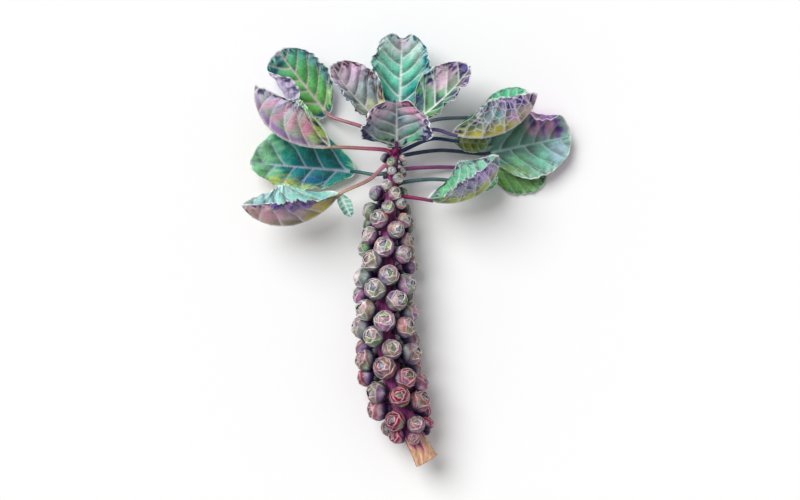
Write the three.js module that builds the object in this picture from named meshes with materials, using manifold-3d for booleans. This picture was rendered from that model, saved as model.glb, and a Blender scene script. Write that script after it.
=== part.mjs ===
// A purple Brussels sprout stalk, cut at the foot and lying on its side, in millimetres.
// The stem runs along +Y, foot to crown, and the surface it lies on is the plane z = 0.
// The sprouts wind up the stem in the spiral of a real plant, and the leaves spread at the crown.
import * as THREE from "three";
import { mergeVertices } from "three/addons/utils/BufferGeometryUtils.js";
import Module from "manifold-3d";

const wasm = await Module();
wasm.setup();

// Driving dimensions
const gap = 0.5; // clear distance between pieces that touch
const origin = { x: -2.7, y: -2.6 }; // the middle of the part's outline, where the frame's zero is put
const stem = {
  foot: -319, tip: 176, sides: 12, rings: 20,
  x: -37.5, height: 47, // the centre line of the straight stretch
  footBend: -92, footSweep: 63, footPower: 2.2, // below this height the foot is swept to the right
  crownSweep: 19.5, crownPower: 1.6, crownLength: 282, // and the crown a little, over this length
  arch: 4, archAt: -205, archLength: 70, // the low arch that lifts the thickest sprouts
  radii: [[-319, 19], [-306, 17], [-290, 15], [-200, 13.5], [-60, 12.5], [20, 11], [90, 7.5], [150, 5.5],
    [168, 4.6], [176, 1.6]],
};
const sprout = {
  count: 94, large: 70, start: -288, // the first of the spiral are large, the rest small
  turn: THREE.MathUtils.degToRad(137.5), phase: 5.55, topTurn: 0.35, stray: 0.3, // angles round the stem
  pitch: 0.163, topPitch: 0.2, // the rise from one to the next, as a share of the reach
  tilt: 0.3, press: 0.88, clear: 1, // the lean to the crown, and how close touching and other pairs stand
  sizeSpread: 0.2, reachSpread: 3, smallest: 3, seed: 7,
  settling: 30, moving: 16, yielding: 0.2, shrinking: 0.5, // passes in which they make room for each other
  largeRow: { step: 5, block: 10 }, smallRow: { step: 3, block: 9 }, // which ones touch and are one piece
  radii: [[-288, 9], [-272, 12.5], [-240, 16], [-200, 17.5], [-140, 16.5], [-20, 15.2], [50, 13.5],
    [90, 11.2], [115, 9.2], [140, 7.2], [152, 6]],
  reach: [[-288, 24], [-272, 27], [-240, 31.5], [-200, 35], [-140, 34], [-20, 32], [50, 26.5], [90, 20],
    [115, 17], [152, 12.5]],
};
const sproutShape = {
  stub: -1.2, fullness: 1.06, fold: 0.055, layers: 3, rise: 1.2, // wrapper leaves overlap in folds
  large: {
    sides: 9,
    profile: [[0, -1.3], [0.3, -1.3], [0.68, -0.78], [0.99, -0.3], [0.98, 0.28], [0.6, 0.88], [0, 1.1]],
  },
  small: {
    sides: 7,
    profile: [[0, -1.3], [0.34, -1.3], [0.86, -0.5], [0.94, 0.35], [0, 1.1]],
  },
};
const stalkRod = {
  root: 4, end: 2.4, sides: 5, rings: 6, // radius at the stem and at the blade
  out: 6, up: 3, into: 9, // how far it leaves the stem before bending, and how far it runs under the blade
  room: 0.9, roomSteps: 30, roomLeft: -80, roomRight: 20, // what the sprouts keep clear of
};
const blade = {
  thickness: 1.4, rib: 2.4, ribHalf: 0.05, ribStart: 6,
  columns: [-1, -0.68, -0.36, -0.1, 0, 0.1, 0.36, 0.68, 1], rows: 9,
  curlPower: 1.6, ruffle: 2.2, tipWave: 0.6, tipTaper: 0.05, notchHalf: 0.3,
  midribSteps: 24, curlSteps: 8,
};
const colours = { stem: 0x6b2f63, sprout: 0x8d9a7c, leaf: 0x5f9a86, crownLeaf: 0x9c8f96 };

// The leaves, from the left of the crown to the right. root is the height on the stem and the angle round
// it, via the leaf stalk's bend, base where the blade starts, heading the midrib's first direction and face
// the direction of the hollow side. bend turns the midrib, left and right are each half's first angle and its
// curl. taper narrows the blade at its stalk, notch dents its tip, leftShare makes the left half wider than
// the right, and furl keeps the left half's curl to the tip's end.
const usualLeaf = { bendPower: 1.3, taper: 0.36, notch: 0, leftShare: 1, furl: 0, rows: blade.rows };
const leaves = [
  {
    name: "leaf_left_upper", root: [160, 175], via: [-72, 184, 30], base: [-124, 203, 12],
    heading: [-0.62, 0.78, 0.02], face: [0, 0, 1], length: 124, width: 54, bend: 14,
    left: [8, 235], right: [22, 42], waves: 3, ripple: 1.5, leftShare: 1.5, furl: 0.25,
  },
  {
    name: "leaf_left_middle", root: [143, 165], via: [-70, 150, 60], base: [-118, 151, 78],
    heading: [-1, -0.02, 0.03], face: [-0.02, 1, 0], length: 168, width: 64, bend: 104, bendPower: 1.5,
    left: [52, 22], right: [74, 12], waves: 3.5, ripple: 3, taper: 0.05,
  },
  {
    name: "leaf_left_lower", root: [108, 198], via: [-55, 112, 27], base: [-82, 117, 13],
    heading: [-0.99, 0.08, -0.02], face: [0, 0, 1], length: 163, width: 64, bend: 24,
    left: [2, 60], right: [4, 30], waves: 3, ripple: 3, leftShare: 0.6,
  },
  {
    name: "leaf_left_bottom", root: [121, 150], via: [-60, 104, 57], base: [-105, 82, 61],
    heading: [-0.64, -0.77, 0], face: [-0.66, 0.7, 0.36], length: 176, width: 62, bend: 105,
    left: [42, 18], right: [60, 20], waves: 4, ripple: 2.5,
    lobe: {
      base: [-106, 84, 60], heading: [0.45, -1, 0.1], face: [0.2, 0.1, 1], length: 42, width: 11, bend: 20,
      left: [10, 20], right: [10, 20], waves: 1, ripple: 1, rows: 4,
    },
  },
  {
    name: "leaf_crown_left", root: [166, 140], via: [-38, 179, 58], base: [-40, 186, 62],
    heading: [-0.76, 0.62, 0.05], face: [0.35, 0.6, 0.7], length: 120, width: 50, bend: 30,
    left: [20, 30], right: [20, 50], waves: 3, ripple: 3,
  },
  {
    name: "leaf_crown_top", root: [162, 268], via: [-17, 186, 33], base: [-16, 208, 33],
    heading: [0.04, 1, 0.04], face: [0, 0, 1], length: 122, width: 50, bend: 14,
    left: [8, 40], right: [8, 40], waves: 3, ripple: 2.5, notch: 0.1,
  },
  {
    name: "leaf_crown_right", root: [166, 40], via: [-3, 179, 58], base: [2, 186, 62],
    heading: [0.79, 0.56, 0.05], face: [-0.35, 0.6, 0.7], length: 126, width: 49, bend: 26,
    left: [20, 50], right: [20, 30], waves: 3, ripple: 3,
  },
  {
    name: "leaf_crown_front", root: [144, 90], via: [-20, 150, 57], base: [-20, 153, 62],
    heading: [0, 0.85, 0.53], face: [0, -0.53, 0.85], length: 98, width: 69, bend: 20,
    left: [30, 25], right: [30, 25], waves: 3, ripple: 2, taper: 0.55, notch: 0.14,
  },
  {
    name: "leaf_right_rear", root: [162, 335], via: [33, 194, 24], base: [104, 201, 8],
    heading: [0.88, 0.44, 0], face: [-0.1, 0.2, 1], length: 84, width: 22, bend: 5,
    left: [2, 10], right: [2, 10], waves: 2, ripple: 2, rows: 7,
  },
  {
    name: "leaf_right_upper", root: [154, 20], via: [33, 178, 62], base: [62, 170, 76],
    heading: [0.97, -0.22, 0], face: [0.18, 0.95, 0.1], length: 158, width: 58, bend: 88,
    left: [56, 20], right: [56, 20], waves: 3.5, ripple: 3, taper: 0.2,
  },
  {
    name: "leaf_right_middle", root: [146, 340], via: [33, 166, 34], base: [66, 163, 33],
    heading: [0.97, -0.1, -0.03], face: [0, 0.1, 1], length: 52, width: 16, bend: 4,
    left: [5, 10], right: [5, 10], waves: 2, ripple: 1.5, rows: 6,
  },
  {
    name: "leaf_right_large", root: [138, 345], via: [45, 149, 26], base: [114, 144, 16],
    heading: [0.97, 0.2, -0.02], face: [0, 0, 1], length: 134, width: 54, bend: 6,
    left: [4, 290], right: [4, 22], waves: 3, ripple: 1.2, leftShare: 1.6, furl: 1.4,
  },
  {
    name: "leaf_right_rear_lower", root: [117, 325], via: [50, 124, 14], base: [118, 121, 2.5],
    heading: [0.98, -0.14, 0], face: [0, 0, 1], length: 92, width: 32, bend: 4,
    left: [2, 6], right: [0, 4], waves: 2, ripple: 1.5, rows: 7,
  },
  {
    name: "leaf_right_small", root: [97, 345], via: [30, 105, 30], base: [84, 102, 25],
    heading: [0.98, 0.1, -0.05], face: [0, 0, 1], length: 50, width: 19, bend: 10,
    left: [6, 20], right: [6, 20], waves: 2, ripple: 1.5, rows: 6,
  },
  {
    name: "leaf_right_bottom", root: [76, 25], via: [0, 77, 55], base: [26, 73, 58],
    heading: [0.97, -0.22, 0], face: [0.25, 0.95, 0.36], length: 152, width: 58, bend: 108,
    left: [62, 18], right: [38, 18], waves: 4, ripple: 2.5,
  },
];

// Small helpers
const vec = (list) => new THREE.Vector3(...list);
const mix = (a, b, share) => a + (b - a) * share;

// The value at a height, from a short list of [height, value] pairs.
function along(pairs, y) {
  const last = pairs.length - 1;
  if (y <= pairs[0][0]) return pairs[0][1];
  if (y >= pairs[last][0]) return pairs[last][1];
  const next = pairs.findIndex(([height]) => height > y);
  const [[y0, v0], [y1, v1]] = [pairs[next - 1], pairs[next]];
  return mix(v0, v1, (y - y0) / (y1 - y0));
}

// A seeded number from 0 to 1 for piece i.
function chance(i, kind) {
  const x = Math.sin((i + 1) * 12.9898 + (kind + sprout.seed) * 78.233) * 43758.5453;
  return x - Math.floor(x);
}

// The stem's centre line: straight up the crown end, and swept to +X at the foot.
function axisPoint(y) {
  const low = Math.max(0, (stem.footBend - y) / (stem.footBend - stem.foot));
  const high = Math.max(0, (y - stem.footBend) / stem.crownLength);
  const x = stem.x + stem.footSweep * low ** stem.footPower + stem.crownSweep * high ** stem.crownPower;
  const arch = stem.arch * Math.exp(-(((y - stem.archAt) / stem.archLength) ** 2));
  return new THREE.Vector3(x, y, stem.height + arch);
}

// The directions along and round the stem at a height. Angle 0 is +X and a quarter turn is up.
function axisFrame(y) {
  const up = axisPoint(y + 1).sub(axisPoint(y - 1)).normalize();
  const right = new THREE.Vector3(1, 0, 0).addScaledVector(up, -up.x).normalize();
  const front = right.clone().cross(up);
  const out = (angle) => {
    return right.clone().multiplyScalar(Math.cos(angle)).addScaledVector(front, Math.sin(angle));
  };
  return { centre: axisPoint(y), up, out };
}

// The height on the bent stem that a point beside it belongs to.
function heightOf(point) {
  let y = point.y;
  for (let i = 0; i < 4; i++) y += point.clone().sub(axisPoint(y)).dot(axisFrame(y).up);
  return y;
}

// A point moved out to the stem's skin, grown by the gap: always when seated, or else only from inside it.
function clearOfStem(point, seated) {
  const y = heightOf(point);
  const centre = axisPoint(y);
  const away = point.clone().sub(centre);
  const skin = along(stem.radii, y) + gap;
  if (!seated && (away.length() > skin || y > stem.tip)) return point;
  return centre.addScaledVector(away.normalize(), skin);
}

// Solids
function solid(geometry) {
  const plain = geometry.index ? geometry.toNonIndexed() : geometry.clone();
  plain.deleteAttribute("normal");
  plain.deleteAttribute("uv");
  const merged = mergeVertices(plain, 1e-3);
  return new wasm.Manifold(new wasm.Mesh({
    numProp: 3,
    vertProperties: merged.attributes.position.array,
    triVerts: new Uint32Array(merged.index.array),
  }));
}

function geometryOf(made) {
  const mesh = made.getMesh();
  const geometry = new THREE.BufferGeometry();
  geometry.setAttribute("position", new THREE.BufferAttribute(mesh.vertProperties, 3));
  geometry.setIndex(new THREE.BufferAttribute(mesh.triVerts, 1));
  geometry.computeVertexNormals();
  return geometry;
}

// Moves every vertex of a geometry by a rule.
function reshape(geometry, rule) {
  const position = geometry.attributes.position;
  for (let i = 0; i < position.count; i++) {
    const moved = rule(new THREE.Vector3().fromBufferAttribute(position, i));
    position.setXYZ(i, moved.x, moved.y, moved.z);
  }
  return geometry;
}

// The turn of a vertex round the Y axis as a whole number of steps, so that a seam closes.
function stepRound(v, sides) {
  const step = Math.round((Math.atan2(v.x, v.z) / (2 * Math.PI)) * sides);
  return (step + sides) % sides;
}

// The stem
function stemGeometry() {
  const length = stem.tip - stem.foot;
  const rod = new THREE.CylinderGeometry(1, 1, length, stem.sides, stem.rings);
  return reshape(rod, (v) => {
    const y = mix(stem.foot, stem.tip, v.y / length + 0.5);
    const { centre, out } = axisFrame(y);
    const share = Math.hypot(v.x, v.z);
    const angle = (-stepRound(v, stem.sides) / stem.sides) * 2 * Math.PI;
    return centre.addScaledVector(out(angle), share < 0.5 ? 0 : along(stem.radii, y));
  });
}

// The leaf stalks' centre lines, from the stem to the blade
function stalkPath(leaf) {
  const [height, turn] = leaf.root;
  const { centre, up, out } = axisFrame(height);
  const away = out(THREE.MathUtils.degToRad(turn));
  const start = centre.clone().addScaledVector(away, along(stem.radii, height) + gap);
  const into = vec(leaf.base).addScaledVector(vec(leaf.heading).normalize(), stalkRod.into);
  const clear = start.clone().addScaledVector(away, stalkRod.out).addScaledVector(up, stalkRod.up);
  return new THREE.CatmullRomCurve3([start, clear, vec(leaf.via), vec(leaf.base), into]);
}

// The sprouts' places: a golden-angle spiral, each pressed against the one further along its row.
function sproutPlaces() {
  const places = [];
  let y = sprout.start;
  for (let i = 0; i < sprout.count; i++) {
    const small = i >= sprout.large;
    const first = small ? sprout.large : 0;
    const { step, block } = small ? sprout.smallRow : sprout.largeRow;
    const group = first + Math.floor((i - first) / block) * block + ((i - first) % step);
    const radius = along(sprout.radii, y) * (1 + sprout.sizeSpread * (chance(i, 2) - 0.5));
    const reach = along(sprout.reach, y) + sprout.reachSpread * (chance(i, 3) - 0.5);
    const stray = sprout.stray * (chance(i, 1) - 0.5);
    const angle = sprout.phase + (small ? sprout.topTurn : 0) + i * sprout.turn + stray;
    const centre = axisPoint(y).addScaledVector(axisFrame(y).out(angle), reach);
    places.push({ i, group, step, small, radius, reach, centre });
    y += (small ? sprout.topPitch : sprout.pitch) * along(sprout.reach, y);
  }
  const stalks = leaves
    .flatMap((leaf) => stalkPath(leaf).getPoints(stalkRod.roomSteps))
    .filter((point) => point.x < stalkRod.roomRight && point.x > stalkRod.roomLeft);
  for (let pass = 0; pass < sprout.settling; pass++) {
    for (const a of places) settleOne(a, places, stalks, pass);
  }
  return places;
}

// One pass for one sprout: it makes room, comes back to its distance and is pressed against its partner.
function settleOne(a, places, stalks, pass) {
  for (const other of places) {
    if (other.group !== a.group) makeRoom(a, other.centre, other.radius, pass);
  }
  for (const point of stalks) makeRoom(a, point, stalkRod.root + stalkRod.room, pass);
  settle(a);
  const partner = places[a.i + a.step];
  if (partner && partner.group === a.group) press(a, partner, sprout.press * (a.radius + partner.radius));
}

// Moves a sprout clear of something round at first, and in the later passes makes the sprout smaller instead.
function makeRoom(a, middle, radius, pass) {
  const between = a.centre.clone().sub(middle);
  const short = a.radius + radius + sprout.clear - between.length();
  if (short <= 0) return;
  if (pass < sprout.moving) a.centre.addScaledVector(between.normalize(), sprout.yielding * short);
  else a.radius = Math.max(sprout.smallest, a.radius - sprout.shrinking * short);
}

// Brings a sprout back to its distance from the stem, and turns it to point out and a little to the crown.
function settle(a) {
  const y = heightOf(a.centre);
  const away = a.centre.clone().sub(axisPoint(y)).normalize();
  a.centre = axisPoint(y).addScaledVector(away, a.reach);
  a.points = away
    .multiplyScalar(Math.cos(sprout.tilt))
    .addScaledVector(axisFrame(y).up, Math.sin(sprout.tilt));
}

// Moves two sprouts along the line between them until they are a distance apart.
function press(a, b, distance) {
  const between = b.centre.clone().sub(a.centre);
  const spare = (between.length() - distance) / 2;
  between.normalize();
  a.centre.addScaledVector(between, spare);
  b.centre.addScaledVector(between, -spare);
}

// One sprout: a lathed body whose wrapper leaves overlap in steps round it, on a stub that meets the stem.
function sproutSolid({ centre, points, radius, small, i }) {
  const { sides, profile } = small ? sproutShape.small : sproutShape.large;
  const body = new THREE.LatheGeometry(profile.map(([x, y]) => new THREE.Vector2(x, y)), sides);
  const side = new THREE.Vector3(0, 1, 0).cross(points).normalize();
  const top = points.clone().cross(side);
  return solid(reshape(body, (v) => {
    const step = stepRound(v, sides);
    const angle = ((step + chance(i, 4)) / sides) * 2 * Math.PI;
    const layer = (step + Math.round((v.y + 1) * sproutShape.rise)) % sproutShape.layers;
    const fold = small ? 1 : 1 - sproutShape.fold * layer;
    const onStub = v.y < sproutShape.stub;
    const across = Math.hypot(v.x, v.z) * radius * (onStub ? 1 : sproutShape.fullness * fold);
    const moved = centre.clone()
      .addScaledVector(side, across * Math.cos(angle))
      .addScaledVector(top, across * Math.sin(angle))
      .addScaledVector(points, v.y * radius);
    return clearOfStem(moved, onStub);
  }));
}

// A leaf's stalk: a tapering rod that meets the stem at its root
function stalkSolid(curve) {
  const { root, end, sides, rings } = stalkRod;
  const rod = new THREE.CylinderGeometry(1, 1, 1, sides, rings);
  const frames = curve.computeFrenetFrames(rings, false);
  return solid(reshape(rod, (v) => {
    const ring = Math.round((v.y + 0.5) * rings);
    const share = ring / rings;
    const angle = (stepRound(v, sides) / sides) * 2 * Math.PI;
    const across = Math.hypot(v.x, v.z) < 0.5 ? 0 : mix(root, end, Math.sqrt(share));
    const moved = curve.getPointAt(share)
      .addScaledVector(frames.normals[ring], across * Math.cos(angle))
      .addScaledVector(frames.binormals[ring], across * Math.sin(angle));
    return clearOfStem(moved, ring === 0);
  }));
}

// A blade's outline: how far along the midrib and out from it a point of the unit square lies. The square
// becomes a rounded leaf with a dent at its tip.
function bladeReach(leaf, a, b) {
  const end = 2 * a - 1;
  const dent = leaf.notch * Math.exp(-((b / blade.notchHalf) ** 2)) * Math.max(0, end) ** 4;
  const reach = (0.5 + 0.5 * end * Math.sqrt(1 - 0.5 * b * b)) * (1 - dent);
  const narrowing = end < 0 ? leaf.taper : blade.tipTaper;
  const spread = Math.abs(b) * Math.sqrt(1 - 0.5 * end * end) * (1 - narrowing * end * end);
  return { end, reach, spread };
}

// A point of a blade: a runs along the midrib, b across from -1 to 1, and depth from the hollow side, 0, to
// the back, 1.
function bladePoint(leaf, a, b, depth) {
  const ahead = vec(leaf.heading).normalize();
  const face = vec(leaf.face).addScaledVector(ahead, -vec(leaf.face).dot(ahead)).normalize();
  const across = ahead.clone().cross(face);
  const { end, reach, spread } = bladeReach(leaf, a, b);
  const turnAt = (share) => THREE.MathUtils.degToRad(leaf.bend) * share ** leaf.bendPower;
  const middle = vec(leaf.base);
  const stride = (leaf.length * reach) / blade.midribSteps;
  for (let k = 0; k < blade.midribSteps; k++) {
    const turn = turnAt(((k + 0.5) / blade.midribSteps) * reach);
    middle.addScaledVector(ahead, stride * Math.cos(turn)).addScaledVector(face, stride * Math.sin(turn));
  }
  const turn = turnAt(reach);
  const hollow = ahead.clone().multiplyScalar(-Math.sin(turn)).addScaledVector(face, Math.cos(turn));
  const [start, curl] = (b < 0 ? leaf.left : leaf.right).map(THREE.MathUtils.degToRad);
  const curlHere = curl * reach ** (b < 0 ? leaf.furl : 0);
  const step = spread / blade.curlSteps;
  const stretch = step * leaf.width * (b < 0 ? leaf.leftShare : 1);
  let sideways = 0;
  let lift = 0;
  let angle = start;
  for (let k = 0; k < blade.curlSteps; k++) {
    angle = start + curlHere * ((k + 0.5) * step) ** blade.curlPower;
    sideways += Math.cos(angle) * stretch;
    lift += Math.sin(angle) * stretch;
  }
  if (b === 0) angle = 0; // the midrib's back points straight away from the hollow
  const sign = b < 0 ? -1 : 1;
  const normal = hollow
    .clone()
    .multiplyScalar(Math.cos(angle))
    .addScaledVector(across, -sign * Math.sin(angle));
  const flute = Math.sin(2 * Math.PI * leaf.waves * a + sign + 2 * leaf.width);
  const ruffle = Math.abs(b) ** blade.ruffle * flute;
  const wave = leaf.ripple * (ruffle + blade.tipWave * end ** 6 * Math.sin(5 * b + leaf.length));
  const rib = Math.abs(b) < blade.ribHalf ? blade.rib * (1 - a) * Math.min(1, blade.ribStart * a) : 0;
  return middle
    .addScaledVector(across, sign * sideways)
    .addScaledVector(hollow, lift)
    .addScaledVector(normal, wave - depth * (blade.thickness + rib));
}

// A blade: a plane grid given a front, a back cut into the same triangles, and a rim.
function bladeSolid(shape) {
  const leaf = { ...usualLeaf, ...shape };
  const columns = blade.columns.length - 1;
  const rows = leaf.rows;
  const grid = new THREE.PlaneGeometry(1, 1, columns, rows);
  const count = grid.attributes.position.count;
  const points = [];
  for (const depth of [0, 1]) {
    for (let i = 0; i < count; i++) {
      const column = i % (columns + 1);
      const row = rows - Math.floor(i / (columns + 1));
      points.push(...bladePoint(leaf, row / rows, blade.columns[column], depth).toArray());
    }
  }
  const front = Array.from(grid.index.array);
  const faces = [...front];
  for (let i = 0; i < front.length; i += 3) {
    faces.push(front[i] + count, front[i + 2] + count, front[i + 1] + count);
  }
  const rim = [];
  for (let c = 0; c < columns; c++) rim.push(c);
  for (let r = 0; r < rows; r++) rim.push(r * (columns + 1) + columns);
  for (let c = columns; c > 0; c--) rim.push(rows * (columns + 1) + c);
  for (let r = rows; r > 0; r--) rim.push(r * (columns + 1));
  rim.forEach((p, k) => {
    const q = rim[(k + 1) % rim.length];
    faces.push(p, q, q + count, p, q + count, p + count);
  });
  const made = new THREE.BufferGeometry();
  made.setAttribute("position", new THREE.Float32BufferAttribute(points, 3));
  made.setIndex(faces);
  return solid(made);
}

// A leaf: its blade, its stalk and, where it has one, the small lobe at the stalk's end.
function leafSolid(leaf) {
  const made = bladeSolid(leaf).add(stalkSolid(stalkPath(leaf)));
  return leaf.lobe ? made.add(bladeSolid(leaf.lobe)) : made;
}

// What lies on the surface is pressed flat there.
function restOnSurface(made) {
  if (made.boundingBox().min[2] > 0) return made;
  const room = new THREE.BoxGeometry(2000, 2000, 1000).translate(0, 0, 500);
  return made.intersect(solid(room));
}

const material = (colour) => new THREE.MeshStandardMaterial({ color: colour, roughness: 0.6, metalness: 0 });

function piece(name, made, colour) {
  const geometry = geometryOf(restOnSurface(made)).translate(-origin.x, -origin.y, 0);
  const mesh = new THREE.Mesh(geometry, material(colour));
  mesh.name = name;
  return mesh;
}

const stalk = new THREE.Group();
stalk.add(piece("stem", solid(stemGeometry()), colours.stem));
const groups = new Map();
for (const place of sproutPlaces()) {
  const made = sproutSolid(place);
  const group = groups.get(place.group);
  groups.set(place.group, group ? group.add(made) : made);
}
let number = 0;
for (const made of groups.values()) {
  number += 1;
  stalk.add(piece(`sprouts_${String(number).padStart(2, "0")}`, made, colours.sprout));
}
for (const leaf of leaves) {
  const colour = leaf.name.includes("crown") ? colours.crownLeaf : colours.leaf;
  stalk.add(piece(leaf.name, leafSolid(leaf), colour));
}

export default stalk;
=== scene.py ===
import math

import bmesh
import bpy
import numpy as np
from mathutils import Matrix, Vector


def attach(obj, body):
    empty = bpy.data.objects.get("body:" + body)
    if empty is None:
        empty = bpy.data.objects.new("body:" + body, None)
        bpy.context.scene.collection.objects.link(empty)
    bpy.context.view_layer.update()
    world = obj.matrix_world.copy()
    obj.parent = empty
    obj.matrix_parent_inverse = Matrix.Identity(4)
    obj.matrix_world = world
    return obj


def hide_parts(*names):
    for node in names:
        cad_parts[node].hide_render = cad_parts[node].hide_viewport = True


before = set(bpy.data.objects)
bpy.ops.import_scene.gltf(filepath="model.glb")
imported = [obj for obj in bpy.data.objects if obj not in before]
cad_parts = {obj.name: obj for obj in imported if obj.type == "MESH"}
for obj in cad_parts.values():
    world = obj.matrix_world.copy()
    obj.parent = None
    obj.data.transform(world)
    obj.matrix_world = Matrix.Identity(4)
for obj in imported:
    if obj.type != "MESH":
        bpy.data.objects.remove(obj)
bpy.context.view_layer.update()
print("frame loaded")

# everything below is worked out in millimetres beside the stem and written in metres
origin = np.array([-2.7, -2.6, 0.0])
goldenAngle = math.radians(137.5)


def metres(points):
    return (np.asarray(points, float) - origin) * 0.001


def along(pairs, y):
    heights, values = zip(*pairs)
    return np.interp(y, heights, values)


def chance(i, kind):
    x = math.sin((i + 1) * 12.9898 + (kind + sprouts["seed"]) * 78.233) * 43758.5453
    return x - math.floor(x)


def unit(v):
    return v / np.linalg.norm(v)


def smooth(x, low, high):
    t = np.clip((np.asarray(x, float) - low) / (high - low), 0, 1)
    return t * t * (3 - 2 * t)


def paint(red, green, blue):
    # a colour as a paint chart gives it, made linear
    c = np.array([red, green, blue]) / 255
    return np.where(c <= 0.04045, c / 12.92, ((c + 0.055) / 1.055) ** 2.4)


def blend(a, b, share):
    share = np.asarray(share, float)[..., None]
    return a * (1 - share) + b * share


def vivid(colour, more):
    grey = colour.mean(axis=1, keepdims=True)
    return np.clip(grey + (colour - grey) * more, 0, 1)


def ripple(x, y, seed):
    # a smooth, seeded unevenness between -1 and 1
    total = 0
    for k in range(4):
        turn = seed * 1.7 + k * 2.4
        across = x * (1.1 + 0.7 * k) * math.cos(turn)
        ahead = y * (1.3 + 0.6 * k) * math.sin(turn)
        total = total + np.sin(2 * across + 2 * ahead + 3 * turn)
    return total / 4


# the stem's centre line, and the directions round it
stem = {
    "foot": -319, "tip": 176, "bendStart": -92, "bendX": -37.5, "footSwing": 63, "tipSwing": 19.5,
    "tipReach": 282, "height": 47, "hump": 4, "humpY": -205, "humpLength": 70, "gap": 0.5,
    "radii": [(-319, 19), (-306, 17), (-290, 15), (-200, 13.5), (-60, 12.5), (20, 11), (90, 7.5),
              (150, 5.5), (168, 4.6), (176, 1.6)],
    "sides": 72, "rings": 330, "peeled": -292, "cutRadius": 18.5,
    "skin": paint(146, 32, 112), "shade": paint(40, 20, 84), "blush": paint(186, 78, 150),
    "wood": paint(222, 176, 136), "woodDark": paint(154, 92, 92), "pith": paint(240, 224, 196),
}


def axisPoint(y):
    low = max(0, (stem["bendStart"] - y) / (stem["bendStart"] - stem["foot"]))
    high = max(0, (y - stem["bendStart"]) / stem["tipReach"])
    x = stem["bendX"] + stem["footSwing"] * low ** 2.2 + stem["tipSwing"] * high ** 1.6
    hump = stem["hump"] * math.exp(-(((y - stem["humpY"]) / stem["humpLength"]) ** 2))
    return np.array([x, y, stem["height"] + hump])


def axisFrame(y):
    up = unit(axisPoint(y + 1) - axisPoint(y - 1))
    right = unit(np.array([1, 0, 0]) - up * up[0])
    return up, right, np.cross(right, up)


def outward(y, angle):
    up, right, front = axisFrame(y)
    return right * math.cos(angle) + front * math.sin(angle)


def heightOf(point):
    y = point[1]
    for _ in range(4):
        y += (point - axisPoint(y)) @ axisFrame(y)[0]
    return y


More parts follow.
